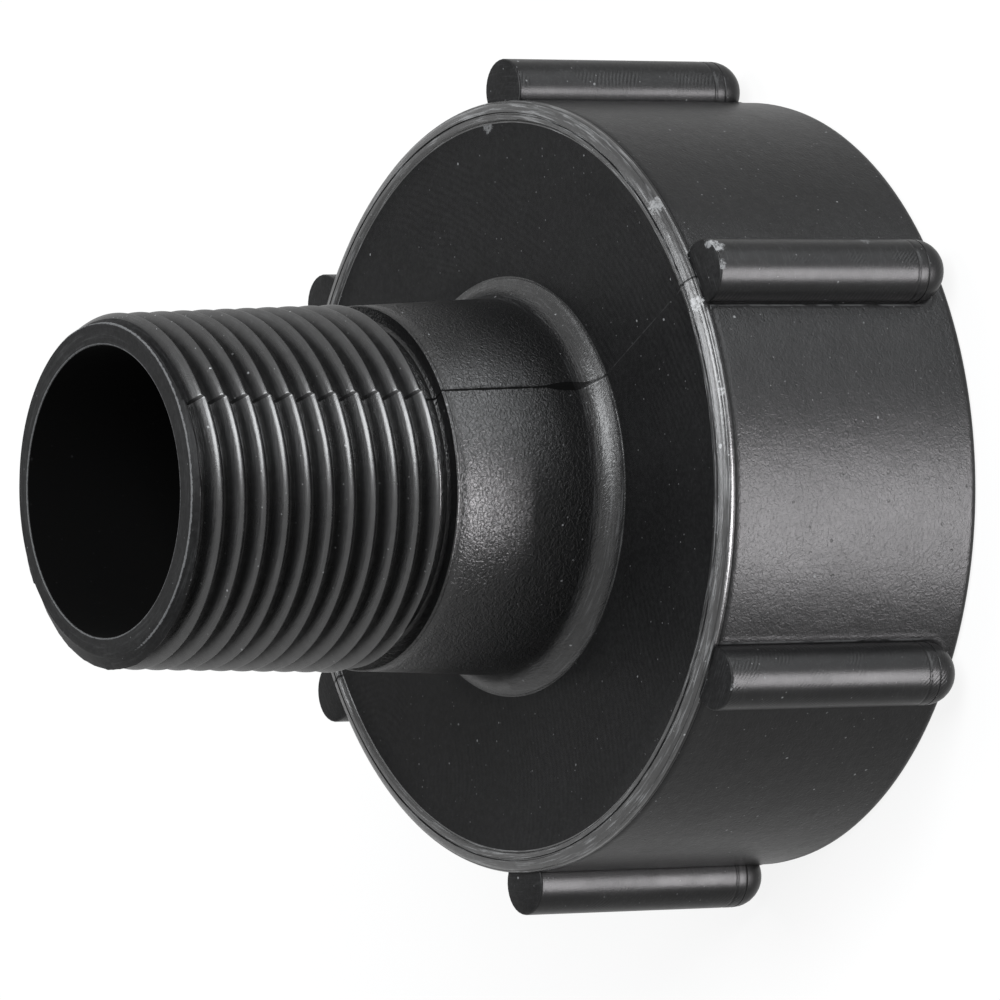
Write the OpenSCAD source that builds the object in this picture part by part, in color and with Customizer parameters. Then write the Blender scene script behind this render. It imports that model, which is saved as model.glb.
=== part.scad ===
// Adapter for the outlet valve of a bulk liquid container: a ribbed cup with a coarse
// inside thread screws onto the valve, and a tapered pipe thread carries the hose side.
// The part stands on its open mouth, with its axis on +Z and the pipe thread on top.
// All lengths are in millimetres.

/* [Cup] */
// Outside diameter of the cup's skirt
skirt_dia = 72.5; // [68:0.5:90]
// Height of the cup from its mouth to its front face
cup_height = 28.2; // [26:0.2:45]
// Thickness of the skirt's wall outside the inside thread
skirt_wall = 6.05; // [4:0.05:10]
// Thickness of the wall between the front face and the gasket
face_wall = 4.5; // [3:0.1:8]
// Rounding of the skirt's edge at the front
face_rounding = 0.4; // [0.2:0.1:0.8]
// Rounding of the outer edge of the mouth
mouth_rounding = 0.8; // [0.2:0.1:1.5]

/* [Rim] */
// Height of the lip that stands round the front face
rim_lip_height = 0.4; // [0.2:0.05:0.6]
// Width of the lip's flat top
rim_lip_width = 0.45; // [0.2:0.05:1.5]
// Distance from the outside of the skirt to the top of the bevel
rim_bevel_width = 1.25; // [1:0.05:3]

/* [Grip ribs] */
// Number of grip ribs round the cup
rib_count = 6; // [3:1:12]
// Diameter of the round bar that forms each rib
rib_dia = 5.9; // [3:0.1:9]
// How far each rib stands out from the skirt
rib_height = 3.95; // [2.5:0.05:5]
// Distance of the flat end of the ribs behind the front face
rib_front_gap = 0.6; // [0.2:0.1:4]
// Distance of the ball end of the ribs from the mouth
rib_mouth_gap = 1.15; // [0.5:0.05:6]

/* [Container thread] */
// Distance from one turn of the inside thread to the next
container_thread_pitch = 6; // [4:0.5:6]
// Depth of the inside thread
container_thread_depth = 2.3; // [1.5:0.1:2.6]
// Width of the flat at the bottom of the inside thread's groove
container_thread_root = 1.8; // [1:0.1:2]
// Slope of the steep, loaded side of the inside thread
load_flank_angle = 10; // [5:1:12]
// Slope of the leading side of the inside thread
lead_flank_angle = 40; // [30:1:42]

/* [Gasket] */
// Thickness of the rubber gasket
gasket_thickness = 3; // [2:0.1:5]
// Diameter of the gasket's hole
gasket_bore_dia = 40; // [34:0.5:50]
// Clearance between the gasket and the thread's crests that it slips past
gasket_clearance = 0.2; // [0.1:0.05:0.4]

/* [Neck] */
// Distance from the front face to the shoulder at the end of the neck
neck_length = 16.65; // [10:0.05:30]
// Diameter of the neck where it meets its cove
neck_base_dia = 35.3; // [34.4:0.1:40]
// Diameter of the neck at its shoulder
neck_end_dia = 34.0; // [33.8:0.1:34.3]
// Radius of the cove between the neck and the front face
cove_radius = 1.9; // [1:0.1:4]

/* [Pipe thread] */
// Diameter over the thread's crests at the gauge plane
pipe_thread_dia = 33.249; // [33:0.001:33.4]
// Distance from the gauge plane to the end of the spigot
gauge_length = 10.4; // [9:0.1:12]
// Distance from one crest of the pipe thread to the next
pipe_thread_pitch = 2.309; // [2.2:0.001:2.4]
// Depth of the pipe thread
pipe_thread_depth = 1.479; // [1.2:0.001:1.5]
// Width of the flat at the bottom of the pipe thread
pipe_thread_root = 0.4; // [0.25:0.05:0.5]
// Direction round the axis in which the pipe thread's groove starts
pipe_thread_direction = -83; // [-180:1:180]
// Distance from the front face to the end of the spigot
spigot_length = 44.5; // [32:0.1:70]
// Length of the plain groove between the shoulder and the thread
relief_length = 1.4; // [0.8:0.1:3]
// Chamfer at the end of the spigot
end_chamfer = 0.9; // [0.3:0.1:1.2]
// Diameter of the bore through the spigot
bore_dia = 26.8; // [18:0.1:27]

/* [Hidden] */
// Angle between the two sides of a pipe thread
pipe_flank_angle = 55 / 2;
// Loss of radius of the pipe thread for each millimetre of its length
pipe_taper = 1 / 32;
// Flat straight steps that make one turn of each thread
pipe_steps = 36;
container_steps = 64;
// Smoothness of the round shapes
round_steps = 128;
// Overlap of pieces that are joined, and overrun of cutting pieces
overlap = 0.5;
// Overrun of a thread's cutting section past the crests
crest_overrun = 0.25;
// Slope of the lead-in at the mouth
lead_in_angle = 45;
// Extra length of the lead-in beyond the depth of the inside thread
lead_in_extra = 0.43;
// Extra depth of the gasket's pocket beyond the gasket
pocket_extra = 1.0;
// How much deeper than a thread's groove the plain groove at its end is
pocket_step = 0.2;

skirt_r = skirt_dia / 2;
bore_r = bore_dia / 2;
rib_r = rib_dia / 2;
rib_centre_r = skirt_r + rib_height - rib_r;
rib_top = cup_height - rib_front_gap;
rib_ball_z = rib_mouth_gap + rib_r;
container_root_r = skirt_r - skirt_wall;
container_crest_r = container_root_r - container_thread_depth;
pocket_top = cup_height - face_wall;
pocket_depth = gasket_thickness + pocket_extra;
pocket_bottom = pocket_top - pocket_depth;
pocket_r = container_root_r + pocket_step;
gasket_r = container_crest_r - gasket_clearance;
shoulder_z = cup_height + neck_length;
spigot_end = cup_height + spigot_length;
thread_start_z = shoulder_z + relief_length;
gauge_z = spigot_end - gauge_length;
pipe_thread_length = spigot_end - thread_start_z;

// Radius over the pipe thread's crests at a height
function crest_r(z) = pipe_thread_dia / 2 + pipe_taper * (gauge_z - z);

// Corners of a thread's cutting section as radius and height, from a root flat and two slopes.
// The section runs from the bottom of the groove to a little past the crest.
function groove_section(root, depth, low_angle, high_angle, out) =
    let (reach = depth + crest_overrun)
    [
        [0, -root / 2],
        [0, root / 2],
        [out * reach, root / 2 + reach * tan(high_angle)],
        [out * reach, -root / 2 - reach * tan(low_angle)]
    ];

// Solid swept along a right-hand helix, to be cut away as a thread's groove.
// root_r is the radius at the groove's bottom and narrowing its loss for each millimetre.
module helix_cutter(section, root_r, narrowing, pitch, from_z, turns, steps) {
    corners = len(section);
    count = ceil(turns * steps);
    points = [
        for (i = [0 : count])
            let (turn = i / steps, z = from_z + turn * pitch, r = root_r - narrowing * turn * pitch)
            for (c = section)
                [(r + c[0]) * cos(360 * turn), (r + c[0]) * sin(360 * turn), z + c[1]]
    ];
    sides = [
        for (i = [0 : count - 1], k = [0 : corners - 1])
            let (a = i * corners + k, b = i * corners + (k + 1) % corners)
            each [[a, b + corners, b], [a, a + corners, b + corners]]
    ];
    caps = [
        [for (k = [0 : corners - 1]) k],
        [for (k = [corners - 1 : -1 : 0]) count * corners + k]
    ];
    polyhedron(points = points, faces = concat(sides, caps), convexity = 10);
}

// Half section of the cup's outside, with both outer edges rounded
module cup_outline() {
    difference() {
        square([skirt_r, cup_height]);
        rounding_offcut(skirt_r, 0, mouth_rounding, 1);
        rounding_offcut(skirt_r, cup_height, face_rounding, -1);
    }
}

// Half section of the lip round the front face, with the bevel that falls from it to the skirt
module rim_lip_outline() {
    edge_r = skirt_r - face_rounding;
    lip_outer_r = skirt_r - rim_bevel_width;
    lip_inner_r = lip_outer_r - rim_lip_width;
    polygon([
        [edge_r, cup_height - overlap],
        [edge_r, cup_height],
        [lip_outer_r, cup_height + rim_lip_height],
        [lip_inner_r, cup_height + rim_lip_height],
        [lip_inner_r - rim_lip_height, cup_height],
        [lip_inner_r - rim_lip_height, cup_height - overlap]
    ]);
}

// Waste left outside a round edge whose sharp corner is at (r, z)
module rounding_offcut(r, z, size, up) {
    difference() {
        translate([r - size, min(z, z + up * size) - (up > 0 ? overlap : 0)])
            square([size + overlap, size + overlap]);
        translate([r - size, z + up * size])
            circle(r = size, $fn = round_steps);
    }
}

// Half section of the neck with the cove at its foot
module neck_outline() {
    foot_z = cup_height + cove_radius;
    polygon([
        [0, cup_height - overlap],
        [neck_base_dia / 2, cup_height - overlap],
        [neck_base_dia / 2, foot_z],
        [neck_end_dia / 2, shoulder_z],
        [0, shoulder_z]
    ]);
    difference() {
        translate([neck_base_dia / 2 - overlap, cup_height - overlap])
            square([cove_radius + overlap, cove_radius + overlap]);
        translate([neck_base_dia / 2 + cove_radius, foot_z])
            circle(r = cove_radius, $fn = round_steps);
    }
}

// Tapered blank of the pipe thread with its end chamfer and plain relief groove
module thread_blank() {
    chamfer_z = spigot_end - end_chamfer;
    relief_r = crest_r(thread_start_z) - pipe_thread_depth - pocket_step;
    polygon([
        [0, shoulder_z - overlap],
        [relief_r, shoulder_z - overlap],
        [relief_r, thread_start_z - overlap / 2],
        [crest_r(thread_start_z), thread_start_z + overlap],
        [crest_r(chamfer_z), chamfer_z],
        [crest_r(spigot_end) - end_chamfer, spigot_end],
        [0, spigot_end]
    ]);
}

// Groove of the pipe thread, from beyond the end of the spigot into the relief groove
module pipe_thread_groove() {
    from_z = thread_start_z - overlap / 2;
    turns = (pipe_thread_length + pipe_thread_pitch) / pipe_thread_pitch;
    section = groove_section(pipe_thread_root, pipe_thread_depth, pipe_flank_angle, pipe_flank_angle, 1);
    rotate([0, 0, pipe_thread_direction])
        helix_cutter(section, crest_r(from_z) - pipe_thread_depth, pipe_taper, pipe_thread_pitch,
            from_z, turns, pipe_steps);
}

// Groove of the inside thread, from below the mouth up into the gasket's pocket
module container_thread_groove() {
    from_z = -container_thread_pitch / 2;
    turns = (pocket_bottom + container_thread_pitch) / container_thread_pitch;
    section = groove_section(container_thread_root, container_thread_depth, load_flank_angle,
        lead_flank_angle, -1);
    helix_cutter([for (k = [3 : -1 : 0]) section[k]], container_root_r, 0, container_thread_pitch,
        from_z, turns, container_steps);
}

// Hollow inside of the cup: the thread's crest bore, the gasket's pocket and the mouth's lead-in
module cup_hollow() {
    lead_in = container_thread_depth + lead_in_extra;
    translate([0, 0, -overlap])
        cylinder(h = pocket_top - overlap, r = container_crest_r, $fn = round_steps);
    translate([0, 0, pocket_bottom])
        cylinder(h = pocket_depth, r = pocket_r, $fn = round_steps);
    translate([0, 0, -overlap])
        cylinder(h = lead_in + overlap, r1 = container_crest_r + (lead_in + overlap) * tan(lead_in_angle),
            r2 = container_crest_r, $fn = round_steps);
}

// One grip rib on the +X side: a round bar sunk in the skirt, flat in front and a ball behind
module rib() {
    translate([rib_centre_r, 0, rib_ball_z]) {
        cylinder(h = rib_top - rib_ball_z, r = rib_r, $fn = round_steps);
        sphere(r = rib_r, $fn = round_steps);
    }
}

// The moulded adapter, one piece with its ribs and both threads
module adapter_body() {
    color([0.09, 0.09, 0.10])
        difference() {
            union() {
                rotate_extrude($fn = round_steps)
                    cup_outline();
                rotate_extrude($fn = round_steps)
                    rim_lip_outline();
                rotate_extrude($fn = round_steps)
                    neck_outline();
                difference() {
                    rotate_extrude($fn = round_steps)
                        thread_blank();
                    pipe_thread_groove();
                }
                for (i = [0 : rib_count - 1])
                    rotate([0, 0, i * 360 / rib_count])
                        rib();
            }
            translate([0, 0, pocket_top - overlap])
                cylinder(h = spigot_end - pocket_top + 2 * overlap, r = bore_r, $fn = round_steps);
            cup_hollow();
            container_thread_groove();
        }
}

// The flat rubber ring that seals against the container's valve
module sealing_gasket() {
    color([0.05, 0.05, 0.05])
        translate([0, 0, pocket_top - gasket_thickness])
            difference() {
                cylinder(h = gasket_thickness, r = gasket_r, $fn = round_steps);
                translate([0, 0, -overlap])
                    cylinder(h = gasket_thickness + 2 * overlap, d = gasket_bore_dia, $fn = round_steps);
            }
}

adapter_body();
sealing_gasket();
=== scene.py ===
"""Looks of a screw-on adapter for the outlet of a bulk liquid container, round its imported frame.

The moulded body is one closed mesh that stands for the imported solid: it has the same cup, ribs, neck and
threads, with the fine edges, the step between the mould's halves and the flash that the source leaves out.
Lengths inside the classes are millimetres and directions are degrees, as in the part's source.
"""

import logging
import math
from dataclasses import dataclass, field
from enum import IntEnum

import bmesh
import bpy
import numpy as np
from mathutils import Matrix, Vector


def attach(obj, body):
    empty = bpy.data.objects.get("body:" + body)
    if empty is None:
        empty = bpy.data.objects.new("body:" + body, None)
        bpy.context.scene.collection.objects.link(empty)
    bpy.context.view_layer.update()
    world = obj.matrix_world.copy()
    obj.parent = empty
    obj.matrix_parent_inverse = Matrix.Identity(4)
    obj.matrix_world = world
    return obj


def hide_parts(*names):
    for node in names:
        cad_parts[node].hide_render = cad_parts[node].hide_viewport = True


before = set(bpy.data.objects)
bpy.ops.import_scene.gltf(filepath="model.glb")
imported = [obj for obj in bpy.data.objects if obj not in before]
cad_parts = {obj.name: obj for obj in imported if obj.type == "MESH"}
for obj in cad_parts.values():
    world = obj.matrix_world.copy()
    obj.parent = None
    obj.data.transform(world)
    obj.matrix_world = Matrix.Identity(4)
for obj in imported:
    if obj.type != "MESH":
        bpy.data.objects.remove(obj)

LOG = logging.getLogger("adapter")
MM = 0.001
FULL_TURN = 360.0
BODY_NODE = "adapter_body"
GASKET_NODE = "sealing_gasket"
ROOT_BODY = "root"
Array = np.ndarray


class Zone(IntEnum):
    """Regions of the moulding, each with its own finish, in the order of the mesh's material slots."""

    BORE = 0
    END = 1
    THREAD = 2
    NECK = 3
    FACE = 4
    RIM = 5
    SKIRT = 6
    RIB = 7
    RIB_END = 8
    INSIDE = 9
    COVE = 10


def smooth_step(value: Array, low: float, high: float) -> Array:
    """Rises smoothly from 0 at low to 1 at high."""
    t = np.clip((value - low) / (high - low), 0.0, 1.0)
    return t * t * (3.0 - 2.0 * t)


def bump(value: Array, middle: float, width: float) -> Array:
    """A bell of height 1 round a middle."""
    return np.exp(-(((value - middle) / width) ** 2))


@dataclass
class Shell:
    """Collects rings of points and the strips of faces between them."""

    points: list[Array] = field(default_factory=list)
    faces: list[Array] = field(default_factory=list)
    zones: list[Array] = field(default_factory=list)
    count: int = 0

    def add(self, rows: list[Array], zones: list[Array], shift: int = 0, closed: bool = True) -> None:
        """Adds a grid of rows.

        Args:
            rows: the points of each row, one row of coordinates for each column.
            zones: the zone of each column's face, one array for each strip between two rows. A negative
                zone leaves the face out.
            shift: how many rows further on a row meets itself again after one turn.
            closed: whether the last column joins the first.
        """
        grid = np.stack(rows)
        height, width = grid.shape[:2]
        index = self.count + np.arange(height * width).reshape(height, width)
        beyond = np.vstack([index[shift:, :1], np.repeat(index[-1:, :1], shift, axis=0)])
        wide = np.hstack([index, beyond]) if closed else index
        zone = np.stack(zones)[:, : wide.shape[1] - 1]
        quads = np.stack([wide[:-1, :-1], wide[:-1, 1:], wide[1:, 1:], wide[1:, :-1]], axis=-1)
        kept = zone >= 0
        self.points.append(grid.reshape(-1, 3))
        self.faces.append(quads[kept])
        self.zones.append(zone[kept])
        self.count += height * width

    def build(self, name: str, sharp_angle: float) -> bpy.types.Object:
        """Welds the strips into one closed mesh.

        Args:
            name: the object's name.
            sharp_angle: edges that turn by more than this are sharp, in degrees.

        Returns:
            The new object, linked to the scene.
        """
        mesh = bpy.data.meshes.new(name)
        mesh.from_pydata((np.vstack(self.points) * MM).tolist(), [], np.vstack(self.faces).tolist())
        mesh.polygons.foreach_set("material_index", np.concatenate(self.zones).astype(np.int32))
        work = bmesh.new()
        work.from_mesh(mesh)
        bmesh.ops.remove_doubles(work, verts=work.verts, dist=2e-6)
        bmesh.ops.dissolve_degenerate(work, edges=work.edges, dist=1e-7)
        bmesh.ops.recalc_face_normals(work, faces=work.faces)
        for face in work.faces:
            face.smooth = True
        work.to_mesh(mesh)
        work.free()
        mesh.set_sharp_from_angle(angle=math.radians(sharp_angle))
        made = bpy.data.objects.new(name, mesh)
        bpy.context.scene.collection.objects.link(made)
        return made


@dataclass
class Columns:
    """Directions of the mesh's columns: a bundle over each rib and a spread between two ribs.

    Every ring of the moulding has these columns, so that the rings join face to face.
    """

    ribs: int = 6
    over_rib: int = 20
    between: int = 28
    edge_shares: tuple[float, ...] = (0.0045, 0.011, 0.022)

    @property
    def sector(self) -> float:
        """Angle from one rib to the next."""
        return FULL_TURN / self.ribs

    @property
    def across(self) -> Array:
        """Place of a rib's own columns, from -1 at one side to 1 at the other."""
        return np.linspace(-1.0, 1.0, self.over_rib + 1)

    @property
    def gap(self) -> Array:
        """Place of the columns between two ribs, as shares of the way, closer together at its ends."""
        near = np.array(self.edge_shares)
        middle = np.linspace(0.0, 1.0, self.between + 2)[1:-1]
        return np.concatenate([near, middle, 1.0 - near[::-1]])

    @property
    def rib_mask(self) -> Array:
        """True for the faces that lie over a rib."""
        one = np.concatenate([np.ones(self.over_rib, bool), np.zeros(len(self.gap) + 1, bool)])
        return np.tile(one, self.ribs)

    def directions(self, half_width: float) -> Array:
        """Direction of every column where a rib's columns spread by half_width to either side."""
        rib = half_width * self.across
        gap = half_width + (self.sector - 2.0 * half_width) * self.gap
        one = np.concatenate([rib, gap])
        return np.concatenate([one + k * self.sector for k in range(self.ribs)])

    def on_ribs(self, along: Array, gap_value: float) -> Array:
        """Repeats values along a rib's columns for every rib, with one value between the ribs."""
        one = np.concatenate([along, np.full(len(self.gap), gap_value)])
        return np.tile(one, self.ribs)


def ring(radius: Array, direction: Array, height: Array) -> Array:
    """Points from radius, direction and height."""
    radius, direction, height = np.broadcast_arrays(radius, np.asarray(direction, float), height)
    angle = np.radians(direction)
    return np.stack([radius * np.cos(angle), radius * np.sin(angle), height], axis=-1)


@dataclass
class MouldSeam:
    """The plane where the mould's two halves met, and what it left on the part."""

    direction: float = -60.0
    axial_step: float = 0.28
    step_width: float = 0.35
    ridge_height: float = 0.05
    ridge_width: float = 0.35

    def turned(self, direction: Array) -> Array:
        """Directions counted from the seam, from -180 to 180."""
        return (direction - self.direction + 180.0) % FULL_TURN - 180.0

    def shift(self, direction: Array) -> Array:
        """How far up the thread of one half stands at a direction."""
        turned = self.turned(direction)
        upper = smooth_step(turned, -self.step_width, self.step_width)
        far = smooth_step(np.abs(turned), 180.0 - self.step_width, 180.0)
        return self.axial_step * (upper - 0.5 + (0.5 - upper) * far)

    def ridge(self, direction: Array) -> Array:
        """Height of the thin ridge that the halves left between them."""
        turned = np.abs(self.turned(direction))
        return self.ridge_height * (bump(turned, 0.0, self.ridge_width) + bump(turned, 180.0, self.ridge_width))


@dataclass
class PipeThread:
    """Tapered outside pipe thread with rounded crests and roots, its chamfered end and its relief groove."""

    end_z: float = 72.7
    start_z: float = 46.25
    gauge_radius: float = 16.6245
    gauge_z: float = 62.3
    taper: float = 1.0 / 32.0
    pitch: float = 2.309
    depth: float = 1.479
    start_direction: float = -83.0
    groove_from_z: float = 46.0
    chamfer: float = 0.9
    relief_below_crest: float = 1.679
    relief_slope_z: float = 46.0
    relief_full_z: float = 46.9
    round_share: float = 0.25
    burr: float = 0.06
    seam: MouldSeam = field(default_factory=MouldSeam)

    def crest(self, z: Array) -> Array:
        """Radius over the crests at a height."""
        return self.gauge_radius + self.taper * (self.gauge_z - z)

    def below_crest(self, phase: Array) -> Array:
        """Depth below the crests, from the share of a pitch that lies between a place and the groove's bottom."""
        away = np.abs((phase + 0.5) % 1.0 - 0.5) * 2.0
        straight = (away - 0.08) / 0.84
        rounded = 0.5 - 0.5 * np.cos(np.pi * np.clip(away, 0.0, 1.0))
        keep = np.clip(straight, 0.0, 1.0)
        blend = self.round_share
        return self.depth * (1.0 - ((1.0 - blend) * keep + blend * rounded))

    def phase(self, direction: Array, z: Array) -> Array:
        """Share of a pitch that lies between a place and the bottom of the groove under it."""
        climb = self.pitch * (direction - self.start_direction) / FULL_TURN
        return (z - self.groove_from_z - climb - self.seam.shift(direction)) / self.pitch

    def radius(self, direction: Array, z: Array) -> Array:
        """Radius of the threaded spigot at a direction and height, with its ends."""
        thread = self.crest(z) - self.below_crest(self.phase(direction, z))
        chamfer_z = self.end_z - self.chamfer
        chamfer = self.crest(chamfer_z) - (z - chamfer_z)
        relief_r = self.crest(self.start_z) - self.relief_below_crest
        slope = (self.crest(self.start_z) - relief_r) / (self.relief_full_z - self.relief_slope_z)
        relief = relief_r + np.maximum(z - self.relief_slope_z, 0.0) * slope
        return np.minimum(np.minimum(thread, chamfer), relief)

    def ragged(self, direction: Array, z: Array) -> Array:
        """Burr that the run-out of the thread leaves at the end of the spigot."""
        waves = (np.sin(np.radians(direction * 23.0)) + np.sin(np.radians(direction * 41.0 + 80.0))
                 + 0.8 * np.sin(np.radians(direction * 97.0 + 20.0)))
        return self.burr * np.clip(waves * 0.4, -0.25, 1.0) * bump(z, self.end_z - self.chamfer, 0.22)

    def helix_phases(self) -> Array:
        """Shares of a pitch at which the mesh has a row: the bottom, the flanks' ends and the rounded crest."""
        return np.array([0.0, 0.055, 0.20, 0.36, 0.44, 0.5, 0.56, 0.64, 0.80, 0.945])


@dataclass
class BulkThread:
    """Coarse saw-tooth thread inside the cup, with its lead-in at the mouth."""

    root_radius: float = 30.2
    depth: float = 2.3
    pitch: float = 6.0
    root_flat: float = 1.8
    load_angle: float = 10.0
    lead_angle: float = 40.0
    groove_from_z: float = -3.0
    lead_in: float = 2.73
    top_z: float = 19.7
    corner: float = 0.12

    @property
    def crest_radius(self) -> float:
        """Radius of the thread's crests."""
        return self.root_radius - self.depth

    def offsets(self) -> Array:
        """Heights of the section's corners over the middle of the groove's bottom, within one pitch."""
        low = -self.root_flat / 2 - self.depth * math.tan(math.radians(self.load_angle))
        high = self.root_flat / 2 + self.depth * math.tan(math.radians(self.lead_angle))
        half = self.root_flat / 2
        crest = (high + low + self.pitch) / 2
        return np.array([low, low + self.corner, -half - self.corner, -half, half, half + self.corner,
                         high - self.corner, high, crest])

    def radius(self, direction: Array, z: Array) -> Array:
        """Radius of the hollow at a direction and height."""
        over = z - self.groove_from_z - self.pitch * direction / FULL_TURN
        low = -self.root_flat / 2 - self.depth * math.tan(math.radians(self.load_angle))
        over = (over - low) % self.pitch + low
        half = self.root_flat / 2
        rise_low = (-half - over) / math.tan(math.radians(self.load_angle))
        rise_high = (over - half) / math.tan(math.radians(self.lead_angle))
        thread = self.root_radius - np.clip(np.maximum(rise_low, rise_high), 0.0, self.depth)
        cone = self.crest_radius + np.maximum(self.lead_in - z, 0.0)
        return np.maximum(thread, cone)


def helix_rows(thread: PipeThread | BulkThread, columns: Array, low: float, high: float,
               phases: Array, origin: float, shift: Array) -> tuple[list[Array], int]:
    """Rows of points that follow a thread, ended flat at two heights.

    Args:
        thread: the thread, which gives a radius at a direction and height.
        columns: direction of every column, rising through one turn.
        low: height of the lower end.
        high: height of the upper end.
        phases: shares of a pitch at which there is a row, rising from 0.
        origin: height of the groove's bottom at direction 0, without the seam's shift.
        shift: the seam's shift at every column.

    Returns:
        The rows, and how many of them make one pitch.
    """
    first = math.floor((low - origin) / thread.pitch) - 2
    last = math.ceil((high - origin) / thread.pitch) + 1
    starts = [origin + (turn + phase) * thread.pitch for turn in range(first, last) for phase in phases]
    rows = []
    for start in starts:
        z = np.clip(start + thread.pitch * columns / FULL_TURN + shift, low, high)
        rows.append(ring(thread.radius(columns, z), columns, z))
    return rows, len(phases)


@dataclass
class Rib:
    """A grip rib: a round bar half sunk in the skirt, flat in front and with a ball end behind."""

    centre: float = 37.25
    radius: float = 2.95
    ball_z: float = 4.1
    front_z: float = 27.6
    edge: float = 0.14
    ring_depth: float = 0.045
    ring_heights: tuple[float, ...] = (4.15, 5.25)
    ball_rows: int = 8

    def bar_radius(self, z: float) -> float:
        """Radius of the bar at a height, with the turned rings where its ball end starts."""
        marks = sum(float(bump(np.array(z), at, 0.09)) for at in self.ring_heights)
        return self.radius - self.ring_depth * marks

    def contact(self, radius: float, skirt: float) -> float:
        """Angle round the bar from its outermost line to where a section of this radius meets the skirt."""
        value = (skirt ** 2 - self.centre ** 2 - radius ** 2) / (2.0 * self.centre * radius)
        return math.degrees(math.acos(max(-1.0, min(1.0, value))))

    def section(self, radius: float, skirt: float, across: Array) -> tuple[Array, Array]:
        """Radius and direction of the points round a section.

        Args:
            radius: the section's radius.
            skirt: radius of the skirt that it meets.
            across: place of the points, from -1 to 1.

        Returns:
            Their radius from the part's axis, and their direction from the rib's own.
        """
        angle = np.radians(self.contact(radius, skirt) * across)
        out = self.centre + radius * np.cos(angle)
        side = radius * np.sin(angle)
        return np.hypot(out, side), np.degrees(np.arctan2(side, out))

    def last_angle(self, skirt: float) -> float:
        """Angle down the ball at which its section only touches the skirt."""
        return math.degrees(math.acos((self.centre - skirt) / self.radius))


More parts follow.
